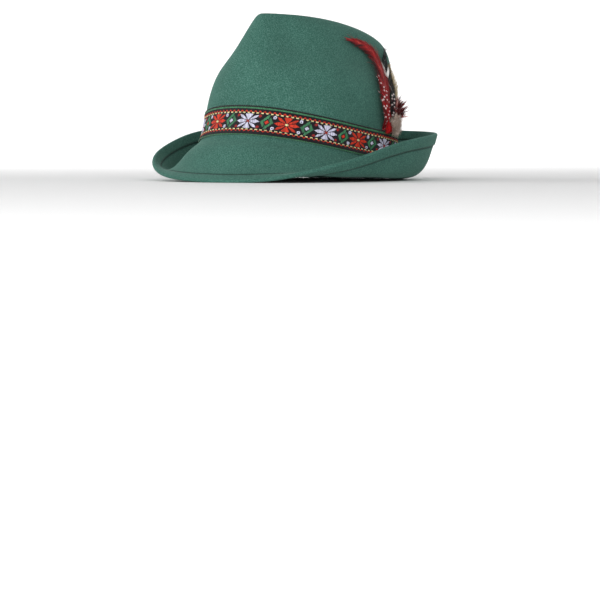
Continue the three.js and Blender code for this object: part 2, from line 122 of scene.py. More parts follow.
def closeTube(faces, base, rings, sides):
    # quads between rings of points, and a face on each end
    for ring in range(rings - 1):
        for n in range(sides):
            a, b = base + ring * sides + n, base + ring * sides + (n + 1) % sides
            faces.append((a, a + sides, b + sides, b))
    faces.append(tuple(base + n for n in range(sides)))
    faces.append(tuple(base + (rings - 1) * sides + n for n in reversed(range(sides))))


def tube(points, radii, sides, verts, faces, reference):
    # a closed tapered tube, added to a mesh that is being made
    base, last = len(verts), len(points) - 1
    for i, (point, radius) in enumerate(zip(points, radii)):
        ahead = (points[min(i + 1, last)] - points[max(i - 1, 0)]).normalized()
        across = ahead.cross(reference).normalized()
        verts += ringPoints(point, across, across.cross(ahead), radius, sides)
    closeTube(faces, base, len(points), sides)


def stripFaces(faces, base, segments, turned=False):
    # quads between pairs of points
    for a in range(base, base + 2 * segments, 2):
        faces.append((a, a + 2, a + 3, a + 1) if turned else (a, a + 1, a + 3, a + 2))


def addValues(obj, name, values):
    layer = obj.data.attributes.new(name, "FLOAT", "POINT")
    layer.data.foreach_set("value", values)


def shaderOf(name, colour, roughness, sheen=0.0, sheenRoughness=0.5):
    material = bpy.data.materials.new(name)
    material.use_nodes = True
    shader = material.node_tree.nodes["Principled BSDF"]
    shader.inputs["Base Color"].default_value = linear(*colour)
    shader.inputs["Roughness"].default_value = roughness
    shader.inputs["Specular IOR Level"].default_value = 0.3
    shader.inputs["Sheen Weight"].default_value = sheen
    shader.inputs["Sheen Roughness"].default_value = sheenRoughness
    return material, shader


def addNode(material, kind, **values):
    made = material.node_tree.nodes.new(kind)
    for name, value in values.items():
        if name in made.inputs.keys():
            made.inputs[name].default_value = value
        else:
            setattr(made, name, value)
    return made


def join(material, source, target):
    material.node_tree.links.new(source, target)


def mathNode(material, operation, a, b=None, c=None):
    made = addNode(material, "ShaderNodeMath", operation=operation)
    for slotIndex, value in enumerate((a, b, c)):
        if value is None:
            continue
        if isinstance(value, (int, float)):
            made.inputs[slotIndex].default_value = value
        else:
            join(material, value, made.inputs[slotIndex])
    return made.outputs[0]


def noiseNode(material, scale, detail, roughness):
    place = addNode(material, "ShaderNodeTexCoord")
    made = addNode(material, "ShaderNodeTexNoise", Scale=scale, Detail=detail, Roughness=roughness)
    join(material, place.outputs["Object"], made.inputs["Vector"])
    return made.outputs["Fac"]


def rampNode(material, factor, stops):
    ramp = addNode(material, "ShaderNodeValToRGB")
    while len(ramp.color_ramp.elements) < len(stops):
        ramp.color_ramp.elements.new(0.5)
    for element, (place, colour) in zip(ramp.color_ramp.elements, stops):
        element.position = place
        element.color = linear(*colour)
    join(material, factor, ramp.inputs["Fac"])
    return ramp.outputs["Color"]


def mixColour(material, kind, factor, a, b):
    made = addNode(material, "ShaderNodeMix", data_type="RGBA", blend_type=kind)
    for socket, value in zip((made.inputs[0], made.inputs[6], made.inputs[7]), (factor, a, b)):
        if isinstance(value, tuple):
            socket.default_value = linear(*value)
        elif isinstance(value, float):
            socket.default_value = value
        else:
            join(material, value, socket)
    return made.outputs[2]


def bumpNode(material, shader, height, distance, strength):
    bump = addNode(material, "ShaderNodeBump", Distance=distance, Strength=strength)
    join(material, height, bump.inputs["Height"])
    join(material, bump.outputs["Normal"], shader.inputs["Normal"])


def attributeNode(material, name):
    return addNode(material, "ShaderNodeAttribute", attribute_name=name).outputs["Fac"]


feltLook = {
    "dark": (44, 84, 74),
    "middle": (62, 104, 93),
    "light": (88, 130, 118),
    "sheen": 0.28,
    "sheenColour": (150, 190, 178),
    "grain": 1050,  # noise scales, a larger one is finer
    "fibres": 420,
    "patches": 30,
    "seamAt": 9.0,  # mm from the brim's edge
    "seamWide": 1.9,
    # the painted shade of the seam's groove, multiplied into the felt's colour
    "seamShadeColour": (92, 108, 102),
    "seamDeep": 1.2,
    "bump": 0.55,
}


def makeFeltMaterial():
    material, shader = shaderOf("green_felt", feltLook["middle"], 0.95, feltLook["sheen"], 0.45)
    shader.inputs["Sheen Tint"].default_value = linear(*feltLook["sheenColour"])
    shader.inputs["Specular IOR Level"].default_value = 0.12
    grain = noiseNode(material, feltLook["grain"], 5, 0.62)
    stops = [(0.34, feltLook["dark"]), (0.50, feltLook["middle"]), (0.66, feltLook["light"])]
    colour = rampNode(material, grain, stops)
    white = (255, 255, 255)
    patches = noiseNode(material, feltLook["patches"], 3, 0.5)
    shade = rampNode(material, patches, [(0.3, (240, 240, 240)), (0.7, white)])
    colour = mixColour(material, "MULTIPLY", 1.0, colour, shade)
    fibres = noiseNode(material, feltLook["fibres"], 6, 0.7)
    streaks = rampNode(material, fibres, [(0.35, (232, 236, 234)), (0.65, white)])
    colour = mixColour(material, "MULTIPLY", 0.8, colour, streaks)
    # a seam line pressed into the felt along the brim's edge, its groove darkened in the colour as
    # painted shade and pressed in by the bump
    away = mathNode(material, "SUBTRACT", attributeNode(material, "edgeWay"), feltLook["seamAt"])
    away = mathNode(material, "DIVIDE", mathNode(material, "ABSOLUTE", away), feltLook["seamWide"])
    seam = mathNode(material, "SUBTRACT", 1.0, mathNode(material, "MINIMUM", away, 1.0))
    # painted shade: the felt's colour darkens along the seam's groove
    seamShadeShare = mathNode(material, "MULTIPLY", seam, 0.95)
    colour = mixColour(material, "MULTIPLY", seamShadeShare, colour, feltLook["seamShadeColour"])
    join(material, colour, shader.inputs["Base Color"])
    height = mathNode(material, "MULTIPLY", grain, 0.5)
    height = mathNode(material, "ADD", height, mathNode(material, "MULTIPLY", fibres, 0.5))
    pressed = mathNode(material, "MULTIPLY", seam, feltLook["seamDeep"])
    height = mathNode(material, "SUBTRACT", height, pressed)
    bumpNode(material, shader, height, 0.0007, feltLook["bump"])
    return material


def makeThreadMaterial(name, colour, roughness=0.6, sheen=0.2, streak=900, streakDark=0.72):
    material, shader = shaderOf(name, colour, roughness, sheen, 0.4)
    # half of the tint is the thread's own, and half runs along it as streaks
    noise = mathNode(material, "MULTIPLY", noiseNode(material, streak, 3, 0.6), 0.5)
    tint = mathNode(material, "MULTIPLY_ADD", attributeNode(material, "tint"), 0.5, noise)
    dark = [c * streakDark for c in colour]
    light = [min(255, c * 1.12 + 6) for c in colour]
    shade = rampNode(material, tint, [(0.2, dark), (0.75, light)])
    join(material, shade, shader.inputs["Base Color"])
    bumpNode(material, shader, noiseNode(material, 2600, 2, 0.5), 0.0002, 0.3)
    return material


groundLook = {
    "colour": (13, 9, 14),
    "dark": (12, 8, 14),
    "light": (34, 26, 36),
    "ribs": 1.9,  # a larger value sets the ribs closer
}


def makeRibbonGround():
    material, shader = shaderOf("ribbon_ground", groundLook["colour"], 0.85, 0.04)
    ribs = addNode(material, "ShaderNodeTexWave", wave_type="BANDS", bands_direction="X", Scale=1.0)
    lane = addNode(material, "ShaderNodeCombineXYZ")
    along = mathNode(material, "MULTIPLY", attributeNode(material, "alongRibbon"), groundLook["ribs"])
    join(material, along, lane.inputs["X"])
    join(material, lane.outputs["Vector"], ribs.inputs["Vector"])
    fleck = noiseNode(material, 1400, 3, 0.6)
    colour = rampNode(material, fleck, [(0.35, groundLook["dark"]), (0.7, groundLook["light"])])
    join(material, colour, shader.inputs["Base Color"])
    height = mathNode(material, "ADD", ribs.outputs["Fac"], fleck)
    bumpNode(material, shader, height, 0.0003, 0.6)
    return material


def makeBarbMaterial(name, stops, spots=None, roughness=0.5):
    material, shader = shaderOf(name, stops[0][1], roughness, 0.12, 0.35)
    colour = rampNode(material, attributeNode(material, "tint"), stops)
    if spots:
        place = addNode(material, "ShaderNodeCombineXYZ")
        join(material, attributeNode(material, "vaneAlong"), place.inputs["X"])
        across = mathNode(material, "MULTIPLY", attributeNode(material, "vaneAcross"), spots["narrow"])
        join(material, across, place.inputs["Y"])
        cells = addNode(material, "ShaderNodeTexVoronoi", voronoi_dimensions="2D")
        cells.inputs["Scale"].default_value = 1 / spots["pitch"]
        cells.inputs["Randomness"].default_value = 1.0
        join(material, place.outputs["Vector"], cells.inputs["Vector"])
        radius = spots["radius"] / spots["pitch"]
        isSpot = mathNode(material, "LESS_THAN", cells.outputs["Distance"], radius)
        colour = mixColour(material, "MIX", isSpot, colour, spots["colour"])
    join(material, colour, shader.inputs["Base Color"])
    return material


feltMaterial = makeFeltMaterial()

# the CAD felt, rounded off and covered with the felt material
print("felt body")

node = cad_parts["felt_body"]
felt = bpy.data.objects.new("felt", node.data.copy())
bpy.context.collection.objects.link(felt)
felt.data.materials.clear()
felt.data.materials.append(feltMaterial)
useOnly(felt)
bpy.ops.object.mode_set(mode="EDIT")
bpy.ops.mesh.select_all(action="SELECT")
bpy.ops.mesh.remove_doubles(threshold=0.00002)
quadAngle = math.radians(60)
bpy.ops.mesh.tris_convert_to_quads(face_threshold=quadAngle, shape_threshold=quadAngle)
bpy.ops.object.mode_set(mode="OBJECT")
rounding = felt.modifiers.new("rounding", "SUBSURF")
rounding.levels = 2
rounding.render_levels = 2
bpy.ops.object.modifier_apply(modifier="rounding")
bpy.ops.object.shade_smooth()
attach(felt, "root")
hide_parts("felt_body")

feltPoints = [v.co for v in felt.data.vertices]
feltTree = BVHTree.FromPolygons(feltPoints, [p.vertices for p in felt.data.polygons])


def ovalPoint(angle):
    power = 2 / hat["ovalExponent"]
    s, c = math.sin(math.radians(angle)), math.cos(math.radians(angle))
    return math.copysign(abs(s) ** power, s), -math.copysign(abs(c) ** power, c)


def wallShape(height):
    share = height / hat["crownHeight"]
    table = hat["wall"]
    for low, high in zip(table, table[1:]):
        if share <= high[0] or high is table[-1]:
            t = max(0.0, (share - low[0]) / (high[0] - low[0]))
            return mix(low[1], high[1], t), mix(low[2], high[2], t)


def wallPoint(angle, height, off):
    # a point off the outside of the crown's wall, angle 0 at the front and 90 at the wearer's left
    x, y = ovalPoint(angle)
    wide, long = wallShape(height)
    reach = Vector((x * wide * hat["headWidth"] / 2, y * long * hat["headLength"] / 2, 0))
    fromInside = height < hat["hiddenBelow"]
    wellOutside = 1.6
    start = Vector((0, 0, height)) + reach * (0 if fromInside else wellOutside)
    way = reach.normalized() * (1 if fromInside else -1)
    hit, normal, _, _ = feltTree.ray_cast(toWorld @ start, toWorld.to_3x3() @ way)
    if fromInside:
        normal = -normal
        hit = hit + normal * hat["feltThickness"]
    return hit + normal * off, normal


# the brim's edge, found from the felt, and the stitched seam beside it
print("brim edge")

edgeSteps = 180
farthest = [(0.0, None)] * edgeSteps
for vertex in felt.data.vertices:
    local = toHat @ vertex.co
    radius = math.hypot(local.x, local.y)
    if radius < hat["headWidth"] / 2:
        continue
    place = (math.degrees(math.atan2(local.x, -local.y)) % 360) / 360 * edgeSteps
    for shift in (0, 0.5, -0.5):
        near = int(place + shift) % edgeSteps
        if radius > farthest[near][0]:
            farthest[near] = (radius, local)
edgeLine = [entry[1] for entry in farthest]
for _ in range(2):
    after = edgeLine[1:] + edgeLine[:1]
    edgeLine = [(edgeLine[i - 1] + edgeLine[i] * 2 + after[i]) / 4 for i in range(edgeSteps)]
edgePoints = []
edgeParts = 8
for i, point in enumerate(edgeLine):
    following = edgeLine[(i + 1) % edgeSteps]
    edgePoints += [toWorld @ point.lerp(following, k / edgeParts) for k in range(edgeParts)]
edgeTree = KDTree(len(edgePoints))
for i, point in enumerate(edgePoints):
    edgeTree.insert(point, i)
edgeTree.balance()
edgeWays = []  # mm from the brim's edge, for the seam line in the felt's material
for vertex in felt.data.vertices:
    away = edgeTree.find(vertex.co)[2] - hat["hemFold"] * 0.4
    edgeWays.append(max(0.0, away) * 1000)
addValues(felt, "edgeWay", edgeWays)

stitches = {
    "inset": 0.0090,  # from the brim's edge
    "pitch": 0.0034,
    "length": 0.0025,
    "thick": 0.00042,
    "askew": 0.08,
    "colour": (40, 70, 62),
}


def brimPoint(edge, inset, above):
    # walks in from the edge until the felt's surface is inset away from it
    inward = Vector((-edge.x, -edge.y, 0)).normalized()
    side = 1 if above else -1
    away = 0.08  # a ray's start, well clear of the brim
    low, high, found = 0.0, inset, None
    for _ in range(14):  # the range is halved each time
        middle = (low + high) / 2
        start = edge + inward * middle + Vector((0, 0, side * away))
        hit, normal, _, _ = feltTree.ray_cast(toWorld @ start, hatUp * -side)
        if hit is None:
            low = middle
            continue
        if ((toHat @ hit) - edge).length < inset:
            low = middle
        else:
            high = middle
        found = (hit, normal)
    return found


def seamLine(above):
    farJump = 0.02  # a point that lies further on than this has missed the brim
    line = []
    for edge in edgeLine:
        found = brimPoint(edge, stitches["inset"], above)
        if found and (not line or (found[0] - line[-1][0]).length < farJump):
            line.append(found)
    return line


def stitchRun(name, line):
    # one stitch is a short rounded thread that dips into the felt at both ends
    # a ring has its place along the stitch, its rise and its girth, as shares of length and thickness
    rings = [(-0.5, -0.5, 0.5), (-0.3, 0.25, 0.9), (0.0, 0.45, 1.0), (0.3, 0.25, 0.9), (0.5, -0.5, 0.5)]
    sides = 5
    length, thick, askew = stitches["length"], stitches["thick"], stitches["askew"]
    verts, faces, tints = [], [], []
    random.seed(11)
    total, marks = 0.0, [0.0]
    points = line + [line[0]]
    for a, b in zip(points, points[1:]):
        total += (b[0] - a[0]).length
        marks.append(total)
    count = int(total / stitches["pitch"])
    for k in range(count):
        want = (k + 0.5) / count * total
        i = next(j for j in range(len(marks) - 1) if marks[j + 1] >= want)
        t = (want - marks[i]) / max(1e-9, marks[i + 1] - marks[i])
        centre = points[i][0].lerp(points[i + 1][0], t)
        normal = points[i][1].lerp(points[i + 1][1], t).normalized()
        forward = (points[i + 1][0] - points[i][0]).normalized()
        across = normal.cross(forward).normalized()
        forward = (forward + across * random.uniform(-askew, askew)).normalized()
        base, tint = len(verts), random.random()
        for along, rise, girth in rings:
            middle = centre + forward * along * length + normal * (rise * thick)
            verts += ringPoints(middle, across, normal, thick / 2 * girth, sides)
            tints += [tint] * sides
        closeTube(faces, base, len(rings), sides)
    piece = meshPiece(name, verts, faces, threadMaterial)
    addValues(piece, "tint", tints)


threadMaterial = makeThreadMaterial("stitch_thread", stitches["colour"], 0.7)
seamAbove, seamBelow = seamLine(True), seamLine(False)
print("seam points", len(seamAbove), len(seamBelow))
stitchRun("brim_stitches", seamAbove)
stitchRun("hem_stitches", seamBelow)

# the woven ribbon with its pattern of raised yarns
print("ribbon")

ribbon = {
    "width": 0.028,
    "foot": 0.0016,
    "dip": 0.0065,  # how much lower the ribbon lies at the sides
    "thick": 0.0010,
    "lapAngle": 154,
    "lap": 0.012,
    "lapRise": 0.0012,
    "plumeAngle": 106,
    "bulge": 0.00235,  # over the quills
    "bulgeFrom": 10,  # degrees from the plume
    "bulgeTo": 21,
    "starPitch": 38.0,  # mm
    "patternStart": -26.2,  # mm along the ribbon from its end to the first white star
    "slant": 0.19,
    "columnsPerStar": 74,
}
ribbonAngles = 240
ribbonRows = 15


def ribbonTop(angle):
    return ribbon["foot"] + ribbon["width"] - ribbon["dip"] * math.sin(math.radians(angle)) ** 2


def ribbonLift(angle):
    fromQuills = abs((angle + 180) % 360 - 180 - ribbon["plumeAngle"])
    share = 1 - smooth(fromQuills, ribbon["bulgeFrom"], ribbon["bulgeTo"])
    return hat["gap"] + ribbon["bulge"] * share


wallTable = []
for k in range(ribbonAngles):
    angle = k / ribbonAngles * 360
    column = []
    for row in range(ribbonRows):
        height = ribbonTop(angle) - row / (ribbonRows - 1) * ribbon["width"]
        column.append(wallPoint(angle, height, ribbonLift(angle))[0])
    wallTable.append(column)
# the mesh's facets are evened out round the hat
for _ in range(2):
    evened = []
    for k in range(ribbonAngles):
        before, here, after = wallTable[k - 1], wallTable[k], wallTable[(k + 1) % ribbonAngles]
        evened.append([(a + b * 2 + c) / 4 for a, b, c in zip(before, here, after)])
    wallTable = evened
middleRow = ribbonRows // 2
ribbonMarks = [0.0]
for k in range(ribbonAngles):
    step = wallTable[(k + 1) % ribbonAngles][middleRow] - wallTable[k][middleRow]
    ribbonMarks.append(ribbonMarks[-1] + step.length)
ribbonRound = ribbonMarks[-1]
lapColumn = int(ribbon["lapAngle"] / 360 * ribbonAngles)
lapStart = mix(ribbonMarks[lapColumn], ribbonMarks[lapColumn + 1], 0.5)
print("ribbon round the hat", round(ribbonRound, 4))


def ribbonPlace(s):
    # the column of the table at a distance along the ribbon
    at = (lapStart + s) % ribbonRound
    low, high = 0, ribbonAngles
    while high - low > 1:
        middle = (low + high) // 2
        if ribbonMarks[middle] <= at:
            low = middle
        else:
            high = middle
    return low + (at - ribbonMarks[low]) / (ribbonMarks[low + 1] - ribbonMarks[low])


def lapRise(s):
    # the ribbon's last part climbs onto its start
    return ribbon["lapRise"] * smooth(s, ribbonRound - 0.004, ribbonRound + 0.001)


def ribbonPoint(s, v, lift):
    # v goes from 0 at the ribbon's middle to half its width at its upper edge, all in metres
    place = ribbonPlace(s)
    k, t = int(place) % ribbonAngles, place - int(place)
    row = (0.5 - v / ribbon["width"]) * (ribbonRows - 1)
    r = min(ribbonRows - 2, max(0, int(row)))
    u = row - r
    here, following = wallTable[k], wallTable[(k + 1) % ribbonAngles]
    a, b = here[r].lerp(following[r], t), here[r + 1].lerp(following[r + 1], t)
    point = a.lerp(b, u)
    along = following[r] - here[r]
    normal = (b - a).cross(along).normalized()
    return point + normal * (lift + lapRise(s))


# the ground cloth, laid round the hat from a flat strip
strip = {"along": 420, "across": 10}
bpy.ops.object.select_all(action="DESELECT")
bpy.ops.mesh.primitive_grid_add(x_subdivisions=strip["along"], y_subdivisions=strip["across"], size=1)
ground = bpy.context.active_object
ground.name = "ribbon_ground"
ribbonLong = ribbonRound + ribbon["lap"]
alongs = []
for vertex in ground.data.vertices:
    s, v = (vertex.co.x + 0.5) * ribbonLong, vertex.co.y * ribbon["width"]
    vertex.co = ribbonPoint(s, v, 0.0)
    alongs.append(s * 1000)
addValues(ground, "alongRibbon", alongs)
useOnly(ground)
cloth = ground.modifiers.new("cloth", "SOLIDIFY")
cloth.thickness = ribbon["thick"]
cloth.offset = 1
bpy.ops.object.modifier_apply(modifier="cloth")
bpy.ops.object.mode_set(mode="EDIT")
bpy.ops.mesh.select_all(action="SELECT")
bpy.ops.mesh.normals_make_consistent(inside=False)
bpy.ops.object.mode_set(mode="OBJECT")
bpy.ops.object.shade_smooth()
groundMaterial = makeRibbonGround()
ground.data.materials.append(groundMaterial)
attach(ground, "root")
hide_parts("hat_band")

# the pattern, in mm: u along the ribbon from a star's middle, v up from the ribbon's middle
petals = [
    [(1.0, 0.0), (4.0, 1.25), (7.6, 1.9), (12.1, 0.0), (7.6, -1.9), (4.0, -1.25)],
    [(1.0, 0.5), (4.4, 1.9), (7.9, 3.4), (10.0, 6.3), (6.3, 5.6), (2.7, 3.0)],
    [(0.0, 0.8), (2.0, 3.7), (4.0, 6.6), (2.8, 7.1), (0.0, 7.2), (-2.8, 7.1), (-4.0, 6.6), (-2.0, 3.7)],
]
pattern = {
    "upperLine": (12.0, 13.6),
    "lowerLine": (-14.0, -13.3),
    "border": 7.3,  # dots and arches lie beyond this height
    "dotsPerStar": 8,
    "dot": {"at": 8.1, "half": 0.68, "long": 1.35, "corner": 0.6},
    "arch": {"at": 8.7, "rise": 1.2, "half": 0.6, "from": 0.75},
    "flower": {"at": (11.4, 5.4), "radius": 1.45},
    "ring": {"at": (12.3, 5.4), "radius": 1.75, "hole": 0.5},
    "lozenge": {"half": (6.4, 7.9), "hole": (3.1, 3.9), "heart": (2.1, 2.2), "slant": 0.12},
    "notch": {"at": 1.35, "half": 0.42, "from": 2.3},
}
starPitch = ribbon["starPitch"]
yarns = {
    "white": (188, 187, 207),
    "red": (186, 42, 14),
    "darkred": (140, 22, 20),
    "green": (46, 106, 70),
    "cream": (204, 194, 140),
}


def inside(shape, u, v):
    found = False
    for (x1, y1), (x2, y2) in zip(shape, shape[1:] + shape[:1]):
        if (y1 > v) != (y2 > v) and u < (x2 - x1) * (v - y1) / (y2 - y1) + x1:
            found = not found
    return found


def inStar(u, v):
    level = inside(petals[0], abs(u), v)
    return level or inside(petals[1], abs(u), abs(v)) or inside(petals[2], u, abs(v))


def between(ends, value):
    return ends[0] < value < ends[1]


def fromCentre(du, height, half):
    # 1 on the outline of a lozenge
    return abs(du) / half[0] + height / half[1]


def borderYarn(u, height):
    # a row of short blocks, and arches that rise between them
    pitch, dot, arch = starPitch / pattern["dotsPerStar"], pattern["dot"], pattern["arch"]
    away = abs((u / pitch + 0.5) % 1 - 0.5) * pitch
    fromDots = abs(height - dot["at"])
    if fromDots < dot["half"] and away < dot["long"] - dot["corner"] * fromDots:
        return "cream"
    top = arch["at"] + arch["rise"] * smooth(2 * away / pitch, 0.25, 1.0)
    return "red" if away > arch["from"] and abs(height - top) < arch["half"] else None


def yarnAt(u, v):
    # which yarn lies on top at this place, and None is the black ground
    height = abs(v)
    if between(pattern["upperLine"], v) or between(pattern["lowerLine"], v):
        return "green"
    if height > pattern["border"]:
        return borderYarn(u, height)
    u -= ribbon["slant"] * v
    star = round(u / starPitch)
    u -= star * starPitch
    white = star % 2 == 0
    # the star's middle is a small cross or an oval
    if white and (abs(abs(u) - height * 1.3) < 0.5 and height < 1.3):
        return "red"
    if not white and math.hypot(u / 1.7, v / 1.15) < 1:
        return "cream"
    if inStar(u, v):
        return "white" if white else "red"
    # small flowers and rings at the star's corners
    corner = pattern["flower"] if white else pattern["ring"]
    away = math.hypot(abs(u) - corner["at"][0], height - corner["at"][1])
    if corner.get("hole", -1) < away < corner["radius"]:
        return "darkred" if white else "white"
    # the lozenge between two stars, two hooks round a small one
    lozenge, notch = pattern["lozenge"], pattern["notch"]
    du = (abs(u) - starPitch / 2) * (1 if u > 0 else -1) - lozenge["slant"] * v
    if fromCentre(du, height, lozenge["half"]) < 1 < fromCentre(du, height, lozenge["hole"]):
        across = du * (1 if v > 0 else -1)
        cut = abs(across - notch["at"]) < notch["half"] and height > notch["from"]
        return None if cut else "green"
    if fromCentre(du, height, lozenge["heart"]) < 1:
        return "red" if white == (u > 0) else "white"
    return None


cell = starPitch / ribbon["columnsPerStar"]
rowStep = 0.25
rows = int(ribbon["width"] * 1000 / rowStep)
runs = []  # one pair of stars: column, colour, lower end, upper end
for i in range(2 * ribbon["columnsPerStar"]):
    u, last, begun = (i + 0.5) * cell, None, 0
    for j in range(rows + 1):
        v = -ribbon["width"] * 500 + (j + 0.5) * rowStep
        here = yarnAt(u, v) if j < rows else None
        if here != last:
            if last:
                runs.append((i, last, begun, v - rowStep / 2))
            last, begun = here, v - rowStep / 2
print("yarn runs in a pair of stars", len(runs))

# one yarn is a low rounded float over the ground, in mm
yarnFloat = {
    "rise": 0.26,
    "sunk": 0.02,
    "turnIn": 0.4,
    "ragged": 0.12,  # how far its ends may lie off
    "halfWide": 0.52,  # share of a column
    "endRise": 0.1,  # shares of its rise
    "sideRise": 0.15,
}
random.seed(5)
made = {name: ([], [], []) for name in yarns}  # points, faces, tints
# the pattern runs from one end of the ribbon to the other and is cut off there
patternFrom, patternTo = ribbon["lap"], ribbonRound + ribbon["lap"]
hemmed = 0.0006  # at both ends of the ribbon
ragged, halfWide = yarnFloat["ragged"], yarnFloat["halfWide"]
endRise, sideRise = yarnFloat["endRise"], yarnFloat["sideRise"]
firstPair = math.floor((patternFrom * 1000 - ribbon["patternStart"]) / (2 * starPitch))
lastPair = math.ceil((patternTo * 1000 - ribbon["patternStart"]) / (2 * starPitch))
for pair in range(firstPair, lastPair):
    for i, name, low, high in runs:
        place = pair * 2 * ribbon["columnsPerStar"] + i + 0.5
        s = (ribbon["patternStart"] + place * cell) / 1000
        if not patternFrom + hemmed < s < patternTo - hemmed:
            continue
        verts, faces, tints = made[name]
        base, tint = len(verts), random.random()
        rise = yarnFloat["rise"] * random.uniform(0.85, 1.1)
        turnIn = min(yarnFloat["turnIn"], (high - low) * 0.3)
        low += random.uniform(-ragged, ragged)
        high += random.uniform(-ragged, ragged)
        for v, share in ((low, endRise), (low + turnIn, 1.0), (high - turnIn, 1.0), (high, endRise)):
            for side, top in ((-halfWide, sideRise), (0.0, 1.0), (halfWide, sideRise)):
                lift = ribbon["thick"] + (rise * share * top - yarnFloat["sunk"]) / 1000
                verts.append(ribbonPoint(s + side * cell / 1000, v / 1000, lift))
                tints.append(tint)
        for row in range(3):
            for column in range(2):
                a = base + row * 3 + column
                faces.append((a, a + 1, a + 4, a + 3))
for name, colour in yarns.items():
    roughness = 0.5 if name == "green" else 0.6
    verts, faces, tints = made[name]
    material = makeThreadMaterial(
        "yarn_" + name, colour, roughness, sheen=0.15, streak=1500, streakDark=0.76
    )
    piece = meshPiece("yarn_" + name, verts, faces, material)
    addValues(piece, "tint", tints)
    print("yarn", name, len(faces))

# the picot edges, a fine looped cord on each side of the ribbon
picot = {
    "pitch": 0.0026,
    "sway": 0.0004,
    "inset": 0.0002,
    "level": 0.62,  # share of the ribbon's thickness
    "fromEnds": 0.001,
    "steps": 6,
    "sides": 5,
}
picotEdges = {
    "picot_upper": {"side": 1, "reach": 0.0010, "thick": 0.00085, "colour": (12, 12, 13)},
    "picot_lower": {"side": -1, "reach": 0.0004, "thick": 0.000595, "colour": (66, 112, 84)},
}
for name, look in picotEdges.items():
    picotMaterial = makeThreadMaterial(name, look["colour"])
    long, steps, sides = ribbonRound - 2 * picot["fromEnds"], picot["steps"], picot["sides"]
    count = int(long / picot["pitch"]) * steps
    verts, faces, tints = [], [], []
    centres = []
    for i in range(count + 1):
        turn = i / steps * 2 * math.pi
        s = ribbon["lap"] + picot["fromEnds"] + i / count * long - picot["sway"] * math.sin(turn)
        out = ribbon["width"] / 2 - picot["inset"] + look["reach"] * (0.5 - 0.5 * math.cos(turn))
        centres.append(ribbonPoint(s, look["side"] * out, ribbon["thick"] * picot["level"]))
        tints += [0.5 + 0.5 * math.sin(i * 2.1)] * sides
    tube(centres, [look["thick"] / 2] * len(centres), sides, verts, faces, hatUp)
    piece = meshPiece(name, verts, faces, picotMaterial)
    addValues(piece, "tint", tints)

# the plume of feathers and tufts at the wearer's left
print("plume")

plume = {
    "foot": 0.0236,
    "height": 0.088,
    "quillDepth": 0.016,
    "quillLift": 0.00134,
    "leaveAbove": 0.0022,  # the quills leave the crown from here on
    "leaveBy": 0.0123,
    "swayEnd": 0.55,  # share of a quill
    "turnFrom": 0.3,  # shares of a vane, where it turns on its shaft
    "turnBy": 0.6,
    "bluntTip": 0.16,
    "shaft": 0.00055,
    "tubeSide": Vector((0.31, 0.27, 0.91)),  # a way that no quill takes
}
# root and tip are angles round the hat, and sway is in degrees
# top, lift, bow and width are shares of the plume's height
feathers = {
    "red_dotted_feather": {
        "root": 100.8, "tip": 95, "bend": 0.5, "arch": 1, "sway": 0, "bow": 0,
        "top": 0.56, "lift": 0.068, "width": 0.165, "taper": 4.0, "cup": 0.1, "turn": 0,
        "fullFrom": -0.2, "fullBy": 0.4, "barbs": 240, "thick": 0.00052, "loose": 0.08,
        "sweep": 1.1, "strays": 5, "slot": "red_dotted_feather",
    },
    "red_hackle": {
        "root": 103.4, "tip": 80, "bend": 5.0, "arch": 2, "sway": -4.2, "bow": 0.035,
        "top": 0.93, "lift": 0.030, "width": 0.215, "taper": 3.0, "cup": 0.1, "turn": 0,
        "fullFrom": -0.1, "fullBy": 0.38, "barbs": 460, "thick": 0.00046, "loose": 0.13,
        "sweep": 2.2, "strays": 12, "slot": "red_feather",
    },
    "black_dotted_feather": {
        "root": 105.4, "tip": 102, "bend": 0.8, "arch": 1, "sway": 0, "bow": 0,
        "top": 0.42, "lift": 0.096, "width": 0.155, "taper": 4.0, "cup": 0.1, "turn": 0,
        "fullFrom": -0.25, "fullBy": 0.45, "barbs": 220, "thick": 0.00052, "loose": 0.08,
        "sweep": 1.1, "strays": 4, "slot": "black_dotted_feather",
    },
    "black_hackle": {
        "root": 107.6, "tip": 117, "bend": 2.2, "arch": 1, "sway": 0, "bow": 0,
        "top": 0.96, "lift": 0.033, "width": 0.098, "taper": 3.0, "cup": -0.1, "turn": 0.6,
        "fullFrom": -0.1, "fullBy": 0.38, "barbs": 420, "thick": 0.00048, "loose": 0.08,
        "sweep": 2.4, "strays": 8, "slot": "black_feather",
    },
    "tan_feather": {
        "root": 112.8, "tip": 125, "bend": 3.0, "arch": 1, "sway": 0, "bow": 0.003,
        "top": 0.82, "lift": 0.010, "width": 0.180, "taper": 4.5, "cup": -0.1, "turn": 0.3,
        "fullFrom": -0.1, "fullBy": 0.4, "barbs": 300, "thick": 0.00055, "loose": 0.06,
        "sweep": 1.3, "strays": 3, "slot": "tan_feather",
    },
}
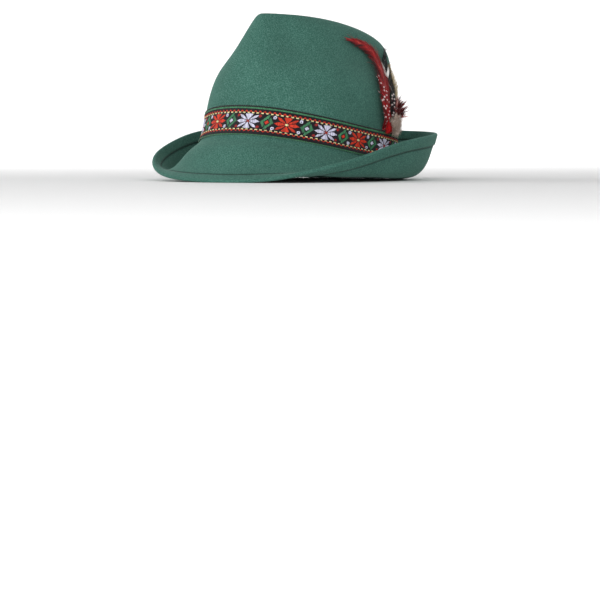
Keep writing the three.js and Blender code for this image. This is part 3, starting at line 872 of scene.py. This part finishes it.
# stops give the colours from the darkest tint to the palest
# shades are the tints at the shaft, at the front edge and at the back edge
# a band goes from one share of the vane to another, on one side, with its own tint
barbLooks = {
    "red_dotted_feather": {
        "stops": [(0.1, (78, 0, 4)), (0.55, (138, 2, 10)), (0.95, (172, 16, 22))],
        "shades": (0.5, 0.4, 0.6),
        "spots": {"pitch": 4.2, "radius": 0.95, "narrow": 0.70, "colour": (232, 206, 204)},
    },
    "red_hackle": {
        "stops": [(0.0, (64, 8, 14)), (0.3, (124, 14, 18)), (0.65, (160, 26, 28)), (1.0, (214, 92, 76))],
        "shades": (0.56, 0.06, 0.38),
    },
    "black_dotted_feather": {
        "stops": [(0.1, (12, 11, 13)), (0.6, (28, 25, 29)), (0.95, (52, 46, 48))],
        "shades": (0.5, 0.5, 0.5),
        "spots": {"pitch": 3.8, "radius": 0.9, "narrow": 0.70, "colour": (232, 222, 220)},
    },
    "black_hackle": {
        "stops": [(0.1, (10, 11, 11)), (0.5, (24, 26, 25)), (0.75, (66, 72, 70)), (1.0, (240, 238, 234))],
        "shades": (0.55, 0.3, 0.3),
        "bands": [(0.60, 0.74, -1, 1.0), (0.62, 0.70, 1, 1.0), (0.40, 0.50, -1, 0.74)],
        "palest": 0.84,  # outside the bands
    },
    "tan_feather": {
        "stops": [
            (0.0, (26, 24, 24)), (0.2, (84, 74, 60)), (0.5, (164, 146, 112)), (0.95, (208, 192, 156)),
        ],
        "shades": (0.4, 0.55, 0.75),
        "bands": [(0.0, 0.34, -1, 0.02), (0.0, 0.34, 1, 0.05)],
    },
}
# what all barbs have in common
barb = {
    "bareFoot": 0.0006,  # of the shaft, below the first barb
    "clumps": 0.12,  # chance that a barb begins a new clump
    "clumpShade": 0.13,  # random spreads
    "uneven": 0.05,
    "twist": 0.30,
    "shadeNoise": 0.07,
    "lead": 0.06,  # share of the vane, from a barb's foot to where its reach is taken
    "shortest": 0.0004,
    "strayBy": 0.0045,
    "straySweep": 0.55,
    "vaneEnd": 0.985,
    "layer": 0.00012,  # barbs lie over one another by this much
    "segments": 5,
    "vaneAt": 40,  # mm, places in the pattern of spots
    "shaftAt": 30,
}


def evenOut(values):
    middle = [a + b * 2 + c for a, b, c in zip(values, values[1:], values[2:])]
    return [values[0]] + [v / 4 for v in middle] + [values[-1]]


def quillLine(look):
    # behind the ribbon the quill follows the wall, and above it the quill leaves the crown
    behind, steps = 6, 36
    foot, depth, height = plume["foot"], plume["quillDepth"], plume["height"]
    stations = []
    for i in range(behind):
        stations.append(wallPoint(look["root"], foot - depth * (1 - i / behind), plume["quillLift"]))
    for i in range(steps + 1):
        t = i / steps
        rise = (1 - (1 - t) ** look["arch"]) * look["top"] * height
        sway = look["sway"] * math.sin(math.pi * min(1, t / plume["swayEnd"])) ** 2
        angle = mix(look["root"], look["tip"], t ** look["bend"]) + sway
        lift = smooth(rise, plume["leaveAbove"], plume["leaveBy"]) * look["lift"]
        lift += look["bow"] * math.sin(math.pi * t) ** 2
        stations.append(wallPoint(angle, foot + rise, plume["quillLift"] + lift * height))
    points = [p for p, _ in stations]
    normals = [n for _, n in stations]
    for _ in range(3):  # the felt's facets don't show in a quill
        points = evenOut(points)
        normals = [n.normalized() for n in evenOut(normals)]
    marks = [0.0]
    for a, b in zip(points, points[1:]):
        marks.append(marks[-1] + (b - a).length)
    return {"points": points, "normals": normals, "marks": marks, "long": marks[-1]}


def onLine(line, distance):
    # a point, then the ways along, across and off the crown
    # past its end the line goes straight on
    marks, points = line["marks"], line["points"]
    over = max(0.0, distance - line["long"])
    at = min(distance, line["long"] - 1e-7)
    i = max(j for j in range(len(marks) - 1) if marks[j] <= at)
    t = (at - marks[i]) / (marks[i + 1] - marks[i])
    tangent = (points[i + 1] - points[i]).normalized()
    if i + 2 < len(points):
        tangent = tangent.lerp((points[i + 2] - points[i + 1]).normalized(), t).normalized()
    normal = line["normals"][i].lerp(line["normals"][i + 1], t)
    side = tangent.cross(normal).normalized()
    return points[i].lerp(points[i + 1], t) + tangent * over, tangent, side, side.cross(tangent)


def makeFeather(name, look, seed):
    random.seed(seed)
    line = quillLine(look)
    colours = barbLooks[name]
    verts, faces, tints, alongs, acrosses = [], [], [], [], []
    bare = plume["quillDepth"] + barb["bareFoot"]
    vane = line["long"] - bare
    half = look["width"] * plume["height"] / 2
    palest = colours.get("palest", 1.0)
    segments = barb["segments"]

    def spread(share):
        # how far the vane reaches from the shaft
        narrowing = (1 - plume["bluntTip"]) * max(0.0, share) ** look["taper"]
        return half * smooth(share, look["fullFrom"], look["fullBy"]) * (1 - narrowing)

    # the shaft
    stations = 24
    shares = [i / stations for i in range(stations + 1)]
    shaft = [onLine(line, share * line["long"])[0] for share in shares]
    radii = [plume["shaft"] * (1 - 0.8 * share ** 1.3) for share in shares]
    tube(shaft, radii, 6, verts, faces, plume["tubeSide"])
    tints += [0.6] * len(verts)
    alongs += [0.0] * len(verts)
    acrosses += [barb["shaftAt"]] * len(verts)
    # barbs from the shaft to the vane's edge, in clumps that split the edge
    strays = [random.randrange(look["barbs"] // 3, look["barbs"]) for _ in range(look["strays"])]
    for side in (-1, 1):
        clump, clumpTint = 0.0, 0.0
        edgeShade = colours["shades"][1 if side < 0 else 2]
        for k in range(look["barbs"]):
            share = (k + random.random() * 0.8) / look["barbs"]
            if random.random() < barb["clumps"]:
                clump, clumpTint = random.gauss(0, look["loose"]), random.gauss(0, barb["clumpShade"])
            reach = spread(min(1.0, share + barb["lead"])) * (1 + random.gauss(0, barb["uneven"]))
            reach += barb["shortest"]
            sweep, lift = look["sweep"] + clump, random.gauss(0, 0.05 + look["loose"] * 0.4)
            if k in strays and (k % 2) * 2 - 1 == side:
                reach, sweep = reach + barb["strayBy"], sweep * barb["straySweep"]
            turn = look["turn"] * smooth(share, plume["turnFrom"], plume["turnBy"])
            shade = None
            for low, high, bandSide, bandShade in colours.get("bands", []):
                if low <= share <= high and side == bandSide:
                    shade = bandShade
            brightest = palest if shade is None else 1.0
            twist = random.gauss(0, barb["twist"])
            noise = random.gauss(0, barb["shadeNoise"]) + clumpTint
            base = len(verts)
            for j in range(segments + 1):
                t = j / segments
                out = side * reach * (t - 0.12 * t * t)
                distance = bare + share * vane * barb["vaneEnd"]
                distance += reach * sweep * (0.6 * t + 0.4 * t * t)
                point, tangent, across, normal = onLine(line, distance)
                rise = reach * (lift * t * t - look["cup"] * t) + side * turn * reach * t
                rise += barb["layer"] * (k % 4)
                point = point + across * out + normal * rise
                flat = (across * side * -sweep + tangent).normalized()
                flat = (flat + normal * twist).normalized()
                wide = look["thick"] * (1 - 0.75 * t ** 1.5) / 2
                value = shade
                if shade is None:
                    value = mix(colours["shades"][0], edgeShade, smooth(t, 0.0, 0.9))
                for edge in (-1, 1):
                    verts.append(point + flat * wide * edge)
                    tints.append(min(brightest, max(0.0, value + noise)))
                    alongs.append(distance * 1000)
                    acrosses.append(out * 1000 + barb["vaneAt"])
            stripFaces(faces, base, segments, side < 0)
    material = makeBarbMaterial(name + "_barbs", colours["stops"], colours.get("spots"))
    piece = meshPiece(name + "_barbs", verts, faces, material)
    addValues(piece, "tint", tints)
    addValues(piece, "vaneAlong", alongs)
    addValues(piece, "vaneAcross", acrosses)
    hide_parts(name)
    return piece


for seed, (name, look) in enumerate(feathers.items()):
    made = makeFeather(name, look, 20 + seed)
    print("feather", name, len(made.data.polygons))

# sizes are shares of the plume's height, and girth is in metres
# out, curl, fan and upward set the ways of the strands
tufts = {
    "red_tuft": {
        "root": 98.2, "angle": 99.7, "leave": 0.03, "rise": 0.036, "lift": 0.064,
        "wide": 0.034, "thick": 0.028, "tall": 0.048,
        "strand": 0.060, "strands": 2200, "locks": 20, "lock": 0.014, "out": 0.4,
        "curl": 0.3, "girth": 0.00022, "fan": 0.25, "upward": 0.9, "slot": "dark_red_feather",
        "stops": [(0.0, (92, 0, 4)), (0.45, (176, 2, 6)), (1.0, (214, 22, 24))],
    },
    "grey_down": {
        "root": 110.0, "angle": 104.8, "leave": 0.03, "rise": 0.086, "lift": 0.088,
        "wide": 0.110, "thick": 0.075, "tall": 0.090,
        "strand": 0.085, "strands": 3900, "locks": 110, "lock": 0.022, "out": 0.5,
        "curl": 0.6, "girth": 0.00018, "fan": 0.6, "upward": 0.65, "slot": "grey_down",
        "stops": [(0.0, (120, 104, 94)), (0.5, (184, 164, 150)), (1.0, (224, 208, 198))],
    },
    "red_fluff": {
        "root": 116.2, "angle": 107.3, "leave": 0.08, "rise": 0.235, "lift": 0.066,
        "wide": 0.070, "thick": 0.050, "tall": 0.075,
        "strand": 0.175, "strands": 4400, "locks": 64, "lock": 0.015, "out": 1.0,
        "curl": 0.35, "girth": 0.00018, "fan": 1.3, "upward": 0.45, "slot": "red_fluff",
        "stops": [
            (0.0, (24, 12, 14)), (0.35, (90, 12, 18)), (0.7, (146, 40, 40)), (1.0, (236, 184, 176)),
        ],
    },
}


def makeTuft(name, look, seed):
    random.seed(seed)
    size, foot = plume["height"], plume["foot"]
    depth, quillLift = plume["quillDepth"], plume["quillLift"]
    lift = look["lift"] * size
    heart, normal = wallPoint(look["angle"], foot + look["rise"] * size, quillLift + lift)
    back = Vector((0, 0, 1)).cross(normal).normalized()
    along = normal.cross(back).normalized()
    verts, faces, tints = [], [], []
    stem = [
        wallPoint(look["root"], foot - depth, quillLift)[0],
        wallPoint(look["root"], foot - depth / 2, quillLift)[0],
        wallPoint(look["root"], foot + 0.001, quillLift)[0],
        wallPoint(look["root"], foot + look["leave"] * size, quillLift + 0.75 * lift)[0],
        heart,
        heart + along * look["tall"] * size * 0.6,
    ]
    radii = [0.0007, 0.0007, 0.0007, 0.0006, 0.0005, 0.0002]
    tube(stem, radii, 6, verts, faces, plume["tubeSide"])
    tints += [0.3] * len(verts)
    # fine strands fan out from the stem in locks that come to points and fill a soft upright lens
    locks = []
    for _ in range(look["locks"]):
        level = random.uniform(-1.0, 0.8)
        within = math.sqrt(1 - level ** 2)
        start = heart + along * (level * look["tall"] * size)
        start = start + back * (random.uniform(-0.5, 0.5) * within * look["wide"] * size)
        start = start + normal * (random.uniform(-0.5, 0.5) * within * look["thick"] * size)
        way = along * (look["upward"] + 0.3 * level + random.gauss(0, 0.2))
        way = way + back * random.uniform(-1, 1) * look["fan"]
        way = (way + normal * random.uniform(-0.35, 1.0) * look["out"]).normalized()
        bend = back * random.gauss(0, 0.8) + normal * random.gauss(0.1, 0.6)
        bend = (bend + along * random.gauss(0.3, 0.5)) * look["curl"]
        long = look["strand"] * size * random.uniform(0.5, 1.0) * (1.1 - 0.35 * max(0.0, level))
        locks.append((start, way, bend, long, random.uniform(0.1, 0.95)))
    segments = 4
    for k in range(look["strands"]):
        start, way, bend, long, tint = locks[k % len(locks)]
        loose = Vector((random.gauss(0, 1), random.gauss(0, 1), random.gauss(0, 1)))
        across = way.cross(loose).normalized()
        long *= random.uniform(0.55, 1.0)
        tint += random.gauss(0, 0.08)
        base = len(verts)
        for j in range(segments + 1):
            t = j / segments
            point = start + loose * (look["lock"] * size * (1 - 0.75 * t))
            point = point + way * (long * t) + bend * (long * 0.5 * t * t)
            wide = look["girth"] * (1 - 0.7 * t)
            for edge in (-0.5, 0.5):
                verts.append(point + across * wide * edge)
                tints.append(min(1.0, max(0.0, tint * (0.7 + 0.5 * t * t))))
        stripFaces(faces, base, segments)
    material = makeBarbMaterial(name + "_strands", look["stops"], roughness=0.8)
    piece = meshPiece(name + "_strands", verts, faces, material)
    addValues(piece, "tint", tints)
    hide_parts(name)
    return piece


for seed, (name, look) in enumerate(tufts.items()):
    made = makeTuft(name, look, 40 + seed)
    print("tuft", name, len(made.data.polygons))

# the floor bends up behind the hat, and the lights are broad and soft
print("stage")

studio = {
    "floor": (250, 250, 250),
    "floorSize": 12.0,
    "bendAt": 3.2,
    "bendRadius": 1.6,
    "world": 0.42,
}
lights = {
    "key_light": {"place": (0.4, -2.4, 0.42), "size": 1.8, "power": 33},
    "left_light": {"place": (-2.3, -1.4, 0.7), "size": 1.6, "power": 30},
    "fill_light": {"place": (1.8, -1.75, 0.5), "size": 2.0, "power": 38},
}
backLight = {"behind": 1.6, "high": 2.4, "size": 2.2, "power": 90}
view = {
    "eye": (1.4775, -1.8912, 0.0491),
    "yaw": 37.931,  # degrees
    "down": 3.949,
    "lens": 148.45,
}
yaw = math.radians(view["yaw"])
backward = Vector((-math.sin(yaw), math.cos(yaw), 0))
sideways = Vector((backward.y, -backward.x, 0))
bpy.ops.object.select_all(action="DESELECT")
bpy.ops.mesh.primitive_grid_add(x_subdivisions=2, y_subdivisions=60, size=1)
floor = bpy.context.active_object
floor.name = "floor"
for vertex in floor.data.vertices:
    across, along = vertex.co.x * studio["floorSize"], (vertex.co.y + 0.15) * studio["floorSize"]
    over = max(0.0, along - studio["bendAt"])
    turn = min(over / studio["bendRadius"], math.pi / 2)
    depth = min(along, studio["bendAt"]) + studio["bendRadius"] * math.sin(turn)
    height = studio["bendRadius"] * (1 - math.cos(turn))
    height += max(0.0, over - studio["bendRadius"] * math.pi / 2)
    vertex.co = sideways * across + backward * depth + Vector((0, 0, height))
floorMaterial, _ = shaderOf("pale_floor", studio["floor"], 0.8)
floor.data.materials.append(floorMaterial)
useOnly(floor)
bpy.ops.object.shade_smooth()
floor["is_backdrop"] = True


def areaLight(name, place, target, size, power):
    light = bpy.data.lights.new(name, "AREA")
    light.energy = power
    light.shape = "SQUARE"
    light.size = size
    obj = bpy.data.objects.new(name, light)
    bpy.context.collection.objects.link(obj)
    obj.location = place
    obj.rotation_euler = (Vector(target) - Vector(place)).to_track_quat("-Z", "Y").to_euler()


hatMiddle = (0, 0, 0.08)
for name, light in lights.items():
    areaLight(name, light["place"], hatMiddle, light["size"], light["power"])
# this one lights the floor's bend
behindHat = backward * backLight["behind"] + Vector((0, 0, backLight["high"]))
floorBend = backward * 4.4 + Vector((0, 0, 0.6))
areaLight("back_light", behindHat, floorBend, backLight["size"], backLight["power"])

world = bpy.data.worlds.new("studio")
bpy.context.scene.world = world
world.use_nodes = True
background = world.node_tree.nodes["Background"]
background.inputs["Color"].default_value = (1, 1, 1, 1)
background.inputs["Strength"].default_value = studio["world"]

camera = bpy.data.objects.new("camera", bpy.data.cameras.new("camera"))
bpy.context.collection.objects.link(camera)
bpy.context.scene.camera = camera
camera.location = view["eye"]
camera.rotation_euler = (math.radians(90 - view["down"]), 0, yaw)
camera.data.lens = view["lens"]
camera.data.sensor_width = 36
camera.data.clip_start = 0.05
bpy.context.scene.view_settings.view_transform = "Standard"

bpy.context.view_layer.update()


def plain(value):
    return [plain(v) for v in value] if hasattr(value, "__len__") else float(value)


{"load": plain(boundsAtLoad), "finish": plain(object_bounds())}
print("done")
